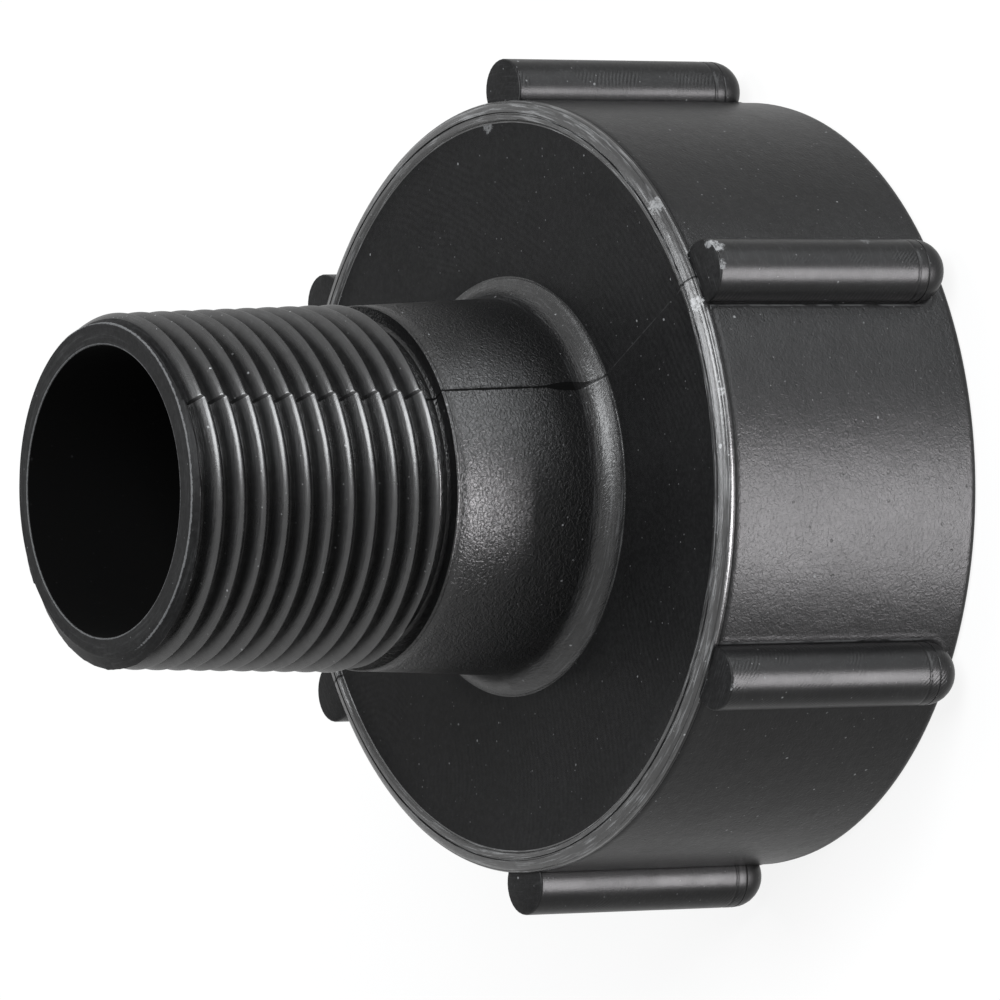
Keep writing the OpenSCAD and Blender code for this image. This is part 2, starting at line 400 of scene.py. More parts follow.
@dataclass
class Moulding:
    """The moulded adapter as one closed mesh of rings round the axis."""

    name: str = "adapter_moulding"
    columns: Columns = field(default_factory=Columns)
    thread: PipeThread = field(default_factory=PipeThread)
    bulk: BulkThread = field(default_factory=BulkThread)
    rib: Rib = field(default_factory=Rib)
    seam: MouldSeam = field(default_factory=MouldSeam)
    skirt_radius: float = 36.24
    mouth_rounding: float = 0.8
    bore_radius: float = 13.4
    pocket_radius: float = 30.4
    pocket_top: float = 23.7
    face_z: float = 28.2
    shoulder_z: float = 44.85
    neck_end_radius: float = 17.0
    neck_base_radius: float = 17.65
    cove_radius: float = 2.6
    cove_sweep: float = 70.0
    cove_edge: float = 19.36
    base_half_width: float = 4.33
    witness: float = 0.07
    sharp_angle: float = 38.0
    shell: Shell = field(default_factory=Shell)

    def plain(self) -> Array:
        """Direction of every column on a ring without ribs."""
        return self.columns.directions(self.base_half_width)

    def zone_row(self, zone: Zone, rib_zone: int | None = None) -> Array:
        """Zone of every face in a strip, with another one over the ribs where it is given."""
        row = np.full(len(self.columns.rib_mask), int(zone))
        if rib_zone is not None:
            row[self.columns.rib_mask] = rib_zone
        return row

    def revolve(self, profile: list[tuple[float, float]], zone: Zone, seam: float = 0.0) -> None:
        """Adds strips of plain rings.

        Args:
            profile: radius and height of each ring.
            zone: the finish of the strips.
            seam: how strongly the mould's seam stands out on them.
        """
        at = self.plain()
        lift = seam * self.seam.ridge(at)
        rows = [ring(r + lift * (0 < i < len(profile) - 1), at, z) for i, (r, z) in enumerate(profile)]
        self.shell.add(rows, [self.zone_row(zone)] * (len(rows) - 1))

    def add_bore_and_end(self) -> None:
        """Adds the bore through the spigot and the ring at its end."""
        top = self.thread.end_z
        heights = np.linspace(self.pocket_top, top - 0.1, 7)
        self.revolve([(self.bore_radius, float(z)) for z in heights], Zone.BORE)
        at = self.plain()
        outer = self.thread.radius(at, np.full(len(at), top)) + self.thread.ragged(at, np.full(len(at), top))
        inner = self.bore_radius + 0.12
        rows = [ring(self.bore_radius, at, top - 0.1), ring(inner, at, top)]
        rows += [ring(inner + (outer - inner) * share, at, top) for share in (0.35, 0.7)]
        rows += [ring(outer, at, top)]
        self.shell.add(rows, [self.zone_row(Zone.END)] * (len(rows) - 1))

    def add_pipe_thread(self) -> None:
        """Adds the chamfered end, the thread and the relief groove behind it."""
        thread, at = self.thread, self.plain()
        low, high = thread.relief_full_z, thread.end_z - thread.chamfer - 0.45
        zone = self.zone_row(Zone.THREAD)

        def rings(heights: Array) -> list[Array]:
            """Rings of the spigot at some heights."""
            every = [np.full(len(at), z) for z in heights]
            return [ring(thread.radius(at, z) + thread.ragged(at, z) * (z[0] > high), at, z) for z in every]

        end = rings(np.linspace(thread.end_z, high, 13))
        self.shell.add(end, [self.zone_row(Zone.END)] * (len(end) - 1))
        origin = thread.groove_from_z - thread.pitch * thread.start_direction / FULL_TURN
        rows, per_pitch = helix_rows(thread, at, low, high, thread.helix_phases(), origin, self.seam.shift(at))
        self.shell.add(rows, [zone] * (len(rows) - 1), shift=per_pitch)
        foot = rings(np.linspace(low, thread.relief_slope_z, 7))
        self.shell.add(foot, [zone] * (len(foot) - 1))

    def add_neck(self) -> None:
        """Adds the relief groove, the beaded shoulder, the neck and the cove at its foot."""
        thread, top, end = self.thread, self.shoulder_z, self.neck_end_radius
        groove = thread.crest(thread.start_z) - thread.relief_below_crest
        shoulder = [(groove, thread.relief_slope_z), (groove, top + 0.25), (groove + 0.2, top + 0.03),
                    (groove + 0.35, top), (end - 0.32, top), (end - 0.2, top + 0.09), (end - 0.08, top + 0.11),
                    (end + 0.02, top + 0.03), (end + 0.03, top - 0.12), (end - 0.05, top - 0.22),
                    (end - 0.06, top - 0.30), (end + 0.01, top - 0.42)]
        self.revolve(shoulder, Zone.NECK)
        sweep = np.radians(np.linspace(0.0, self.cove_sweep, 9))
        cove_r = self.neck_base_radius + self.cove_radius * (1.0 - np.cos(sweep))
        cove_foot = self.face_z + 0.06
        cove_z = cove_foot + self.cove_radius * (np.sin(sweep[-1]) - np.sin(sweep))
        shares = np.linspace(0.0, 1.0, 15)
        first_z = top - 0.42
        neck = [(end + 0.01 + (self.neck_base_radius - end - 0.01) * s, first_z + (cove_z[0] - first_z) * s)
                for s in shares]
        self.revolve(neck, Zone.NECK, seam=1.0)
        self.revolve([(float(r), float(z)) for r, z in zip(cove_r, cove_z)], Zone.COVE, seam=1.0)
        edge, face = float(cove_r[-1]), self.face_z
        self.revolve([(edge, float(cove_z[-1])), (edge + 0.08, face + 0.06), (edge + 0.16, face + 0.05),
                      (edge + 0.2, face - 0.03), (edge + 0.28, face - 0.03), (edge + 0.36, face)], Zone.COVE)

    def add_face_and_rim(self) -> None:
        """Adds the front face, its lip and the bevel outside it, down to the front of the ribs."""
        face, r = self.face_z, self.skirt_radius
        inner = self.neck_base_radius + self.cove_radius * (1.0 - math.cos(math.radians(self.cove_sweep))) + 0.36
        self.revolve([(inner + (r - 2.1 - inner) * s, face) for s in np.linspace(0.0, 1.0, 8)], Zone.FACE)
        rim = [(r - 2.1, face), (r - 1.98, face + 0.04), (r - 1.86, face + 0.26), (r - 1.72, face + 0.38),
               (r - 1.5, face + 0.39), (r - 1.36, face + 0.36), (r - 1.3, face + 0.18),
               (r - 1.2, face + 0.17), (r - 1.12, face + 0.33), (r - 0.75, face + 0.25), (r - 0.45, face + 0.12), (r - 0.26, face - 0.03),
               (r - 0.2, face - 0.18), (r - 0.12, face - 0.18), (r - 0.05, face - 0.25), (r + 0.0, face - 0.4),
               (r, self.rib.front_z)]
        self.revolve(rim, Zone.RIM, seam=0.6)

    def rib_ring(self, radius: float, skirt: float, z: float, lift: float = 0.0) -> Array:
        """A ring that follows the skirt between the ribs and the bars over them.

        Args:
            radius: radius of the bars' section.
            skirt: radius of the skirt.
            z: the ring's height.
            lift: height of the witness line beside each rib.

        Returns:
            The ring's points.
        """
        columns = self.columns
        out, side = self.rib.section(radius, skirt, columns.across)
        half = float(side[-1])
        at = columns.directions(half)
        at[np.tile(np.arange(len(columns.across) + len(columns.gap)) < len(columns.across), columns.ribs)] = (
            np.concatenate([side + k * columns.sector for k in range(columns.ribs)]))
        gap = np.full(len(columns.gap), skirt)
        gap[[1, -2]] += lift
        one = np.concatenate([out, gap])
        return ring(np.tile(one, columns.ribs), at, z)

    def add_skirt(self) -> None:
        """Adds the skirt with its ribs, from their flat fronts to their ball ends."""
        rib, r = self.rib, self.skirt_radius
        flat = self.rib_ring(rib.radius - rib.edge, r, rib.front_z)
        plain = ring(r, self.plain(), rib.front_z)
        self.shell.add([plain, flat], [self.zone_row(Zone.SKIRT, Zone.RIB_END)])
        rows = [flat, self.rib_ring(rib.radius - rib.edge * 0.3, r, rib.front_z - rib.edge * 0.3),
                self.rib_ring(rib.radius, r, rib.front_z - rib.edge)]
        rows += [self.rib_ring(rib.radius, r - dip, z, lift) for z, dip, lift in
                 ((27.36, 0.0, 0.0), (27.28, 0.05, 0.0), (27.2, 0.0, self.witness))]
        heights = list(np.linspace(26.6, 5.5, 9)) + [5.4, 5.3, 5.2, 5.1, 4.95, 4.35, 4.25, 4.15]
        rows += [self.rib_ring(rib.bar_radius(z), r, z, self.witness) for z in heights]
        lowest = rib.last_angle(r)
        for angle in np.radians(np.linspace(0.0, lowest, rib.ball_rows)):
            size = max(rib.radius * math.cos(angle), self.rib.centre - r)
            rows.append(self.rib_ring(size, r, rib.ball_z - rib.radius * math.sin(angle), self.witness))
        self.shell.add(rows, [self.zone_row(Zone.SKIRT, Zone.RIB)] * (len(rows) - 1))
        self.add_ball_caps(rows[-1])

    def add_ball_caps(self, last: Array) -> None:
        """Closes each ball end below the ring at which it only touches the skirt."""
        rib, columns = self.rib, self.columns
        start = math.radians(rib.last_angle(self.skirt_radius))
        per_sector = len(columns.across) + len(columns.gap)
        for k in range(columns.ribs):
            loop = last[k * per_sector: k * per_sector + len(columns.across)]
            pole = ring(rib.centre, k * columns.sector, rib.ball_z - rib.radius)
            rows = [loop]
            for angle in np.linspace(start, math.pi / 2, 5)[1:]:
                around = np.radians(180.0 * columns.across)
                size = rib.radius * math.cos(angle)
                local = np.stack([rib.centre + size * np.cos(around), size * np.sin(around)], axis=-1)
                turn = math.radians(k * columns.sector)
                x = local[:, 0] * math.cos(turn) - local[:, 1] * math.sin(turn)
                y = local[:, 0] * math.sin(turn) + local[:, 1] * math.cos(turn)
                z = np.full(len(x), rib.ball_z - rib.radius * math.sin(angle))
                rows.append(np.stack([x, y, z], axis=-1))
            rows[-1][:] = pole
            zones = [np.full(columns.over_rib, int(Zone.RIB))] * (len(rows) - 1)
            self.shell.add(rows, zones, closed=False)

    def add_mouth_and_hollow(self) -> None:
        """Adds the mouth, the coarse inside thread and the pocket of the gasket."""
        rib, bulk, r = self.rib, self.bulk, self.skirt_radius
        touch_z = rib.ball_z - rib.radius * math.sin(math.radians(rib.last_angle(r)))
        columns = self.columns
        touch = ring(r, columns.directions(0.0), touch_z)
        turn = np.radians(np.linspace(0.0, 90.0, 5))
        edge = [(r - self.mouth_rounding * (1 - math.cos(t)), self.mouth_rounding * (1 - math.sin(t))) for t in turn]
        at = self.plain()
        outside = [touch] + [ring(a, at, z) for a, z in [(r, 1.0)] + edge]
        self.shell.add(outside, [self.zone_row(Zone.SKIRT)] * (len(outside) - 1))
        mouth_inner = bulk.radius(at, np.zeros(len(at)))
        mouth = [ring(r - self.mouth_rounding, at, 0.0), ring(mouth_inner, at, 0.0)]
        self.shell.add(mouth, [self.zone_row(Zone.INSIDE)])
        zone = self.zone_row(Zone.INSIDE)
        lead = [ring(bulk.radius(at, np.full(len(at), z)), at, z) for z in np.linspace(0.0, bulk.lead_in, 9)]
        self.shell.add(lead, [zone] * (len(lead) - 1))
        shift = np.zeros(len(at))
        offsets = bulk.offsets()
        phases = (offsets - offsets[0]) / bulk.pitch
        origin = bulk.groove_from_z + offsets[0]
        rows, per_pitch = helix_rows(bulk, at, bulk.lead_in, bulk.top_z, phases, origin, shift)
        self.shell.add(rows, [zone] * (len(rows) - 1), shift=per_pitch)
        top = bulk.radius(at, np.full(len(at), bulk.top_z))
        pocket = [ring(top, at, bulk.top_z), ring(self.pocket_radius, at, bulk.top_z),
                  ring(self.pocket_radius, at, self.pocket_top - 0.3), ring(self.pocket_radius - 0.3, at,
                                                                           self.pocket_top)]
        pocket += [ring(radius, at, self.pocket_top) for radius in (25.0, 19.0, self.bore_radius)]
        self.shell.add(pocket, [zone] * (len(pocket) - 1))

    def build(self) -> bpy.types.Object:
        """Makes the whole moulding.

        Returns:
            Its object, in metres.
        """
        self.add_bore_and_end()
        self.add_pipe_thread()
        self.add_neck()
        self.add_face_and_rim()
        self.add_skirt()
        self.add_mouth_and_hollow()
        return self.shell.build(self.name, self.sharp_angle)

    def dress(self, made: bpy.types.Object, finishes: dict[Zone, bpy.types.Material]) -> None:
        """Gives each zone its finish and binds the moulding to the frame."""
        for zone in Zone:
            made.data.materials.append(finishes[zone])
        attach(made, ROOT_BODY)
        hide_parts(BODY_NODE)


class Field:
    """A value on its way through a material's nodes, with arithmetic that adds Math nodes."""

    def __init__(self, graph: "Graph", socket: bpy.types.NodeSocket) -> None:
        """Wraps a socket of a graph."""
        self.graph = graph
        self.socket = socket

    def math(self, operation: str, *others: "Field | float", clamp: bool = False) -> "Field":
        """The result of a Math node on this value and others."""
        values = {i: v for i, v in enumerate((self,) + others)}
        made = self.graph.node("ShaderNodeMath", {"operation": operation, "use_clamp": clamp}, values)
        return Field(self.graph, made.outputs[0])

    def __add__(self, other: "Field | float") -> "Field":
        """Sum."""
        return self.math("ADD", other)

    def __sub__(self, other: "Field | float") -> "Field":
        """Difference."""
        return self.math("SUBTRACT", other)

    def __rsub__(self, other: float) -> "Field":
        """Difference from a number."""
        return (self * -1.0) + other

    def __mul__(self, other: "Field | float") -> "Field":
        """Product."""
        return self.math("MULTIPLY", other)

    def __truediv__(self, other: "Field | float") -> "Field":
        """Quotient."""
        return self.math("DIVIDE", other)

    def __abs__(self) -> "Field":
        """Size without sign."""
        return self.math("ABSOLUTE")

    __radd__ = __add__
    __rmul__ = __mul__

    def clamped(self) -> "Field":
        """The value held between 0 and 1."""
        return self.math("ADD", 0.0, clamp=True)

    def largest(self, other: "Field | float") -> "Field":
        """The larger of two values."""
        return self.math("MAXIMUM", other)

    def rise(self, low: float, high: float) -> "Field":
        """Rises smoothly from 0 at low to 1 at high, or falls where low is the larger."""
        start, stop, up = (low, high, (0.0, 1.0)) if low < high else (high, low, (1.0, 0.0))
        made = self.graph.node(
            "ShaderNodeMapRange", {"interpolation_type": "SMOOTHSTEP"},
            {"Value": self, "From Min": start, "From Max": stop, "To Min": up[0], "To Max": up[1]})
        return Field(self.graph, made.outputs["Result"])


class Graph:
    """A material's node tree, filled by one method that takes any type of node."""

    def __init__(self, name: str) -> None:
        """Starts an empty material."""
        self.material = bpy.data.materials.new(name)
        self.material.use_nodes = True
        self.tree = self.material.node_tree
        self.tree.nodes.clear()

    def node(self, kind: str, settings: dict[str, object] | None = None,
             values: dict[str | int, object] | None = None) -> bpy.types.Node:
        """Adds a node.

        Args:
            kind: the node's type.
            settings: the node's own settings, set first.
            values: a value, Field or socket for each input, by name or number.

        Returns:
            The new node.
        """
        made = self.tree.nodes.new(kind)
        for key, value in (settings or {}).items():
            setattr(made, key, value)
        for key, value in (values or {}).items():
            if isinstance(value, Field):
                value = value.socket
            if isinstance(value, bpy.types.NodeSocket):
                self.tree.links.new(value, made.inputs[key])
            else:
                made.inputs[key].default_value = value
        return made

    def noise(self, place: bpy.types.NodeSocket, scale: float, detail: float = 2.0, roughness: float = 0.5,
              distortion: float = 0.0) -> Field:
        """Smooth noise from 0 to 1, with scale in waves for each millimetre."""
        made = self.node("ShaderNodeTexNoise", {"noise_dimensions": "3D"},
                         {"Vector": place, "Scale": scale, "Detail": detail, "Roughness": roughness,
                          "Distortion": distortion})
        return Field(self, made.outputs[0])

    def cells(self, place: bpy.types.NodeSocket, scale: float) -> tuple[Field, Field]:
        """Distance to the nearest of scattered points in cells, and a number that differs from cell to cell."""
        made = self.node("ShaderNodeTexVoronoi", {"feature": "F1"}, {"Vector": place, "Scale": scale})
        split = self.node("ShaderNodeSeparateColor", {}, {0: made.outputs["Color"]})
        return Field(self, made.outputs["Distance"]), Field(self, split.outputs[0])

    def vector(self, x: Field | float, y: Field | float, z: Field | float) -> bpy.types.NodeSocket:
        """A vector from three values."""
        return self.node("ShaderNodeCombineXYZ", {}, {0: x, 1: y, 2: z}).outputs[0]


@dataclass
class Surface:
    """Where a point of the part lies: millimetres along the axes, and its place round the part's axis."""

    graph: Graph

    def __post_init__(self) -> None:
        """Adds the nodes that give the place."""
        graph = self.graph
        coords = graph.node("ShaderNodeTexCoord").outputs["Object"]
        scaled = graph.node("ShaderNodeVectorMath", {"operation": "SCALE"}, {0: coords, "Scale": 1.0 / MM})
        self.place = scaled.outputs[0]
        split = graph.node("ShaderNodeSeparateXYZ", {}, {0: self.place})
        self.x, self.y, self.z = (Field(graph, split.outputs[i]) for i in range(3))
        self.radius = (self.x * self.x + self.y * self.y).math("SQRT")
        self.angle = self.y.math("ARCTAN2", self.x)

    def stretched(self, around: float, along: float, out: float = 1.0) -> bpy.types.NodeSocket:
        """Place round the axis as a vector, with each direction's scale in waves for each millimetre."""
        arc = self.angle * self.radius
        return self.graph.vector(arc * around, self.z * along, self.radius * out)

    def off_seam(self, direction: float) -> Field:
        """Distance from the mould's seam plane, in millimetres."""
        angle = math.radians(direction)
        return abs(self.x * math.sin(angle) - self.y * math.cos(angle))

    def near(self, at: tuple[float, float, float], size: float) -> Field:
        """Falls from 1 at a point to 0 at a distance, in millimetres."""
        offset = self.graph.node("ShaderNodeVectorMath", {"operation": "DISTANCE"}, {0: self.place, 1: at})
        return Field(self.graph, offset.outputs["Value"]).rise(size, size * 0.3)


@dataclass(frozen=True)
class Scuff:
    """A whitened, roughened place: its direction, radius and height, and how far it reaches."""

    direction: float
    radius: float
    z: float
    size: float
    strength: float = 1.0

    @property
    def at(self) -> tuple[float, float, float]:
        """The place in millimetres."""
        angle = math.radians(self.direction)
        return (self.radius * math.cos(angle), self.radius * math.sin(angle), self.z)


@dataclass(frozen=True)
class WornEdge:
    """A torn, whitened ring: its radius and height, how far it reaches, and where round the axis it lies."""

    radius: float
    z: float
    reach: float
    strength: float = 1.0
    direction: float = 0.0
    spread: float = 360.0


@dataclass(frozen=True)
class PlasticFinish:
    """Black moulded plastic with the surface that one part of the mould gave it."""

    name: str
    base: tuple[float, float, float] = (0.004, 0.004, 0.0043)
    pale: tuple[float, float, float] = (0.36, 0.365, 0.37)
    mottle: float = 0.012
    roughness: float = 0.34
    roughness_spread: float = 0.06
    specular: float = 0.25
    matt_share: float = 0.0
    # Painted shade: darkens the thread's grooves by their depth below the crests.
    groove_shade: float = 0.0
    witness_line: float = 0.0
    grain_scale: float = 3.2
    grain_height: float = 0.010
    grain_stretch: tuple[float, float] = (1.0, 1.0)
    fine_scale: float = 9.0
    fine_height: float = 0.002
    wave_height: float = 0.0
    pit_depth: float = 0.0
    lines_height: float = 0.0
    lines_scale: float = 3.0
    chatter_height: float = 0.0
    chatter_spacing: float = 0.3
    chatter_tilt: float = 45.0
    arcs_height: float = 0.0
    arcs_centre: tuple[float, float, float] = (-27.0, 24.0, 28.2)
    arcs_spacing: float = 0.66
    # Pale worn streaks; on the rim they are raised to paint the sheen of its rounded band too.
    wear_and_sheen: float = 0.0
    dust: float = 0.5
    # Painted shade: a dark line in the crack of the mould's seam.
    seam_shade: float = 0.0
    # Painted glints: broken pale dashes along the mould's seam.
    seam_glint: float = 0.0
    scuffs: tuple[Scuff, ...] = ()
    # Where the painted shade of the seam swells into a blister.
    seam_shade_swell: Scuff | None = None
    worn_edges: tuple[WornEdge, ...] = ()
    seam_direction: float = -60.0

    def arcs(self, graph: Graph, here: Surface) -> Field:
        """Fine arcs that the cutter left in the mould, from -1 to 1."""
        offset = graph.node("ShaderNodeVectorMath", {"operation": "DISTANCE"},
                            {0: here.place, 1: self.arcs_centre})
        away = Field(graph, offset.outputs["Value"])
        wander = graph.noise(here.place, 0.09, 2.0) * 3.0 + graph.noise(here.place, 1.1, 2.0) * 0.35
        patch = graph.noise(here.place, 0.08, 1.0).rise(0.36, 0.6)
        return ((away + wander) * (2.0 * math.pi / self.arcs_spacing)).math("SINE") * patch

    def chatter(self, graph: Graph, here: Surface) -> Field:
        """Slanting marks of the tool that cut the mould, from -1 to 1."""
        tilt = math.radians(self.chatter_tilt)
        beside = here.angle.math("WRAP", math.radians(30.0), math.radians(-30.0))
        across = beside * here.radius * math.sin(tilt) + here.z * math.cos(tilt)
        wander = graph.noise(here.place, 0.3, 1.0) * 0.3
        patch = graph.noise(here.place, 0.35, 2.0).rise(0.42, 0.62)
        return ((across + wander) * (2.0 * math.pi / self.chatter_spacing)).math("SINE") * patch

    def heights(self, graph: Graph, here: Surface) -> Field:
        """Relief of the surface, in millimetres."""
        around, along = self.grain_stretch
        place = here.stretched(self.grain_scale * around, self.grain_scale * along, self.grain_scale)
        grain = graph.noise(place, 1.0, 2.0, 0.5, 0.9)
        fine = graph.noise(here.place, self.fine_scale, 2.0)
        total = (grain - 0.5) * self.grain_height + (fine - 0.5) * self.fine_height
        if self.wave_height:
            total = total + graph.noise(here.place, 0.35, 2.0) * self.wave_height
        if self.pit_depth:
            spots, chance = graph.cells(here.place, 0.85)
            total = total - spots.rise(0.17, 0.06) * chance.rise(0.62, 0.66) * self.pit_depth
        if self.lines_height:
            stretched = here.stretched(self.lines_scale * 0.12, self.lines_scale, self.lines_scale)
            total = total + (graph.noise(stretched, 1.0, 2.0, 0.6) - 0.5) * self.lines_height
        if self.chatter_height:
            total = total + self.chatter(graph, here) * self.chatter_height
        if self.arcs_height:
            total = total + self.arcs(graph, here) * self.arcs_height
        return total

    def dust_specks(self, graph: Graph, here: Surface) -> Field:
        """Small pale specks of dust, from 0 to 1."""
        spots, chance = graph.cells(here.place, 0.55)
        size = graph.noise(here.place, 2.6, 1.0) * 0.15
        few = ((size - spots) * 22.0).clamped() * chance.rise(0.55, 0.62)
        tiny, luck = graph.cells(here.place, 1.5)
        many = ((0.14 - tiny) * 16.0).clamped() * luck.rise(0.66, 0.95) * 0.5
        return few.largest(many) * self.dust

    def paleness(self, graph: Graph, here: Surface) -> Field:
        """How far the surface is whitened by dust, scuffs and worn places, from 0 to 1, with the painted sheen that
        the worn streaks also carry on the rim and painted glints along the seam.
        """
        total = self.dust_specks(graph, here)
        torn = graph.noise(here.place, 2.6, 4.0, 0.72)
        # Pale worn streaks, which on the rim also paint the sheen of its rounded band.
        if self.wear_and_sheen:
            wear_and_sheen_streak = graph.noise(here.stretched(0.25, 5.0, 5.0), 1.0, 4.0, 0.65)
            broad = graph.noise(here.place, 0.22, 2.0)
            total = total.largest((wear_and_sheen_streak * 0.85 + broad * 0.15).rise(0.50, 0.68) * self.wear_and_sheen)
        for scuff in self.scuffs:
            total = total.largest((here.near(scuff.at, scuff.size) * 0.62 + torn - 0.98).rise(0.0, 0.22)
                                  * scuff.strength)
        for edge in self.worn_edges:
            away = ((here.radius - edge.radius) * (here.radius - edge.radius)
                    + (here.z - edge.z) * (here.z - edge.z)).math("SQRT")
            close = away.rise(edge.reach, 0.0)
            if edge.spread < FULL_TURN:
                turn = math.radians(edge.direction)
                facing = (here.x * math.cos(turn) + here.y * math.sin(turn)) / here.radius
                close = close * facing.rise(math.cos(math.radians(edge.spread)),
                                            math.cos(math.radians(edge.spread * 0.5)))
            total = total.largest((close * 0.75 + torn - 0.92).rise(0.0, 0.25) * edge.strength)
        if self.witness_line:
            beside = abs(here.angle.math("WRAP", math.radians(30.0), math.radians(-30.0)))
            line = abs(beside - math.radians(4.8)).rise(0.0042, 0.0014) * here.z.rise(3.0, 4.5)
            broken = graph.noise(here.place, 0.4, 3.0).rise(0.36, 0.56)
            total = total.largest(line * broken * here.z.rise(27.4, 26.8) * self.witness_line)
        # Painted glints: broken pale dashes along the mould's seam, where its edge would catch the light.
        if self.seam_glint:
            line = here.off_seam(self.seam_direction).rise(0.09, 0.02)
            total = total.largest(line * graph.noise(here.place, 0.9).rise(0.3, 0.6) * self.seam_glint)
        return total.clamped()

    def seam_crack_shade(self, graph: Graph, here: Surface) -> Field:
        """Painted shade in the crack of the mould's seam, from 0 to 1, widened round the swell where one is given.
        """
        away = here.off_seam(self.seam_direction) + (graph.noise(here.place, 0.8, 3.0) - 0.5) * 0.22
        if self.seam_shade_swell:
            torn = graph.noise(here.place, 1.6, 2.0) * 0.6 + 0.7
            away = away - here.near(self.seam_shade_swell.at, self.seam_shade_swell.size) * torn * self.seam_shade_swell.strength
        return away.rise(0.18, 0.09) * self.seam_shade

    def matt_and_shade_share(self, graph: Graph, here: Surface) -> Field:
        """Share of the surface given the near-black matt shader, from its fine matt pores and matt share, the
        painted shade deep in the thread's grooves and the painted shade in the crack of the seam.
        """
        pores = (graph.noise(here.place, 1.3, 3.0, 0.6) - 0.5) * 0.25 + self.matt_share
        # Painted shade: the deeper below the crests, the more of the near-black matt shader.
        if self.groove_shade:
            thread = PipeThread()
            depth = (thread.gauge_z - here.z) * thread.taper + thread.gauge_radius - here.radius
            pores = pores + depth.rise(0.15, 1.15) * self.groove_shade
        return pores.largest(self.seam_crack_shade(graph, here)) if self.seam_shade else pores

    def make(self) -> bpy.types.Material:
        """Makes the material.

        Returns:
            The new material.
        """
        graph = Graph(self.name)
        here = Surface(graph)
        pale = self.paleness(graph, here)
        cloud = graph.noise(here.place, 0.11, 3.0)
        speckle = graph.noise(here.place, 2.4, 3.0, 0.7)
        tone = (speckle.rise(0.35, 0.75) * 0.7 + cloud.rise(0.3, 0.75) * 0.3) * self.mottle
        if self.arcs_height:
            tone = tone + (self.arcs(graph, here) * 0.5 + 0.5) * self.mottle * 0.4
        colour = graph.node("ShaderNodeMix", {"data_type": "RGBA"},
                            {0: (pale + tone).clamped(), 6: (*self.base, 1.0), 7: (*self.pale, 1.0)})
        rough = ((cloud - 0.5) * (2.0 * self.roughness_spread) + pale * 0.3 + self.roughness).clamped()
        relief = graph.node("ShaderNodeBump", {}, {"Strength": 1.0, "Distance": MM,
                                                   "Height": self.heights(graph, here)})
        shader = graph.node("ShaderNodeBsdfPrincipled", {},
                            {"Base Color": colour.outputs[2], "Roughness": rough, "Normal": relief.outputs[0],
                             "Specular IOR Level": self.specular, "IOR": 1.49}).outputs[0]
        # A near-black matt shader mixed in for the real matt pores and for the painted shade of the grooves and the
        # seam.
        if self.seam_shade or self.matt_share:
            crack = graph.node("ShaderNodeBsdfPrincipled", {},
                               {"Base Color": (0.002, 0.002, 0.002, 1.0), "Roughness": 0.9,
                                "Specular IOR Level": 0.05})
            mix = graph.node("ShaderNodeMixShader", {},
                             {0: self.matt_and_shade_share(graph, here).clamped(), 1: shader, 2: crack.outputs[0]})
            shader = mix.outputs[0]
        graph.node("ShaderNodeOutputMaterial", {}, {0: shader})
        return graph.material


@dataclass(frozen=True)
class RubberFinish:
    """Soft matt rubber of the gasket, with a faint bloom."""

    name: str = "gasket_rubber_finish"
    base: tuple[float, float, float] = (0.014, 0.014, 0.014)
    bloom: tuple[float, float, float] = (0.05, 0.05, 0.052)
    roughness: float = 0.72

    def make(self) -> bpy.types.Material:
        """Makes the material."""
        graph = Graph(self.name)
        here = Surface(graph)
        cloud = graph.noise(here.place, 0.3, 4.0, 0.6)
        fine = graph.noise(here.place, 7.0, 2.0)
        colour = graph.node("ShaderNodeMix", {"data_type": "RGBA"},
                            {0: cloud.rise(0.45, 0.8), 6: (*self.base, 1.0), 7: (*self.bloom, 1.0)})
        relief = graph.node("ShaderNodeBump", {}, {"Distance": MM, "Height": fine * 0.006})
        shader = graph.node("ShaderNodeBsdfPrincipled", {},
                            {"Base Color": colour.outputs[2], "Roughness": cloud * 0.1 + self.roughness,
                             "Normal": relief.outputs[0]})
        graph.node("ShaderNodeOutputMaterial", {}, {0: shader.outputs[0]})
        return graph.material


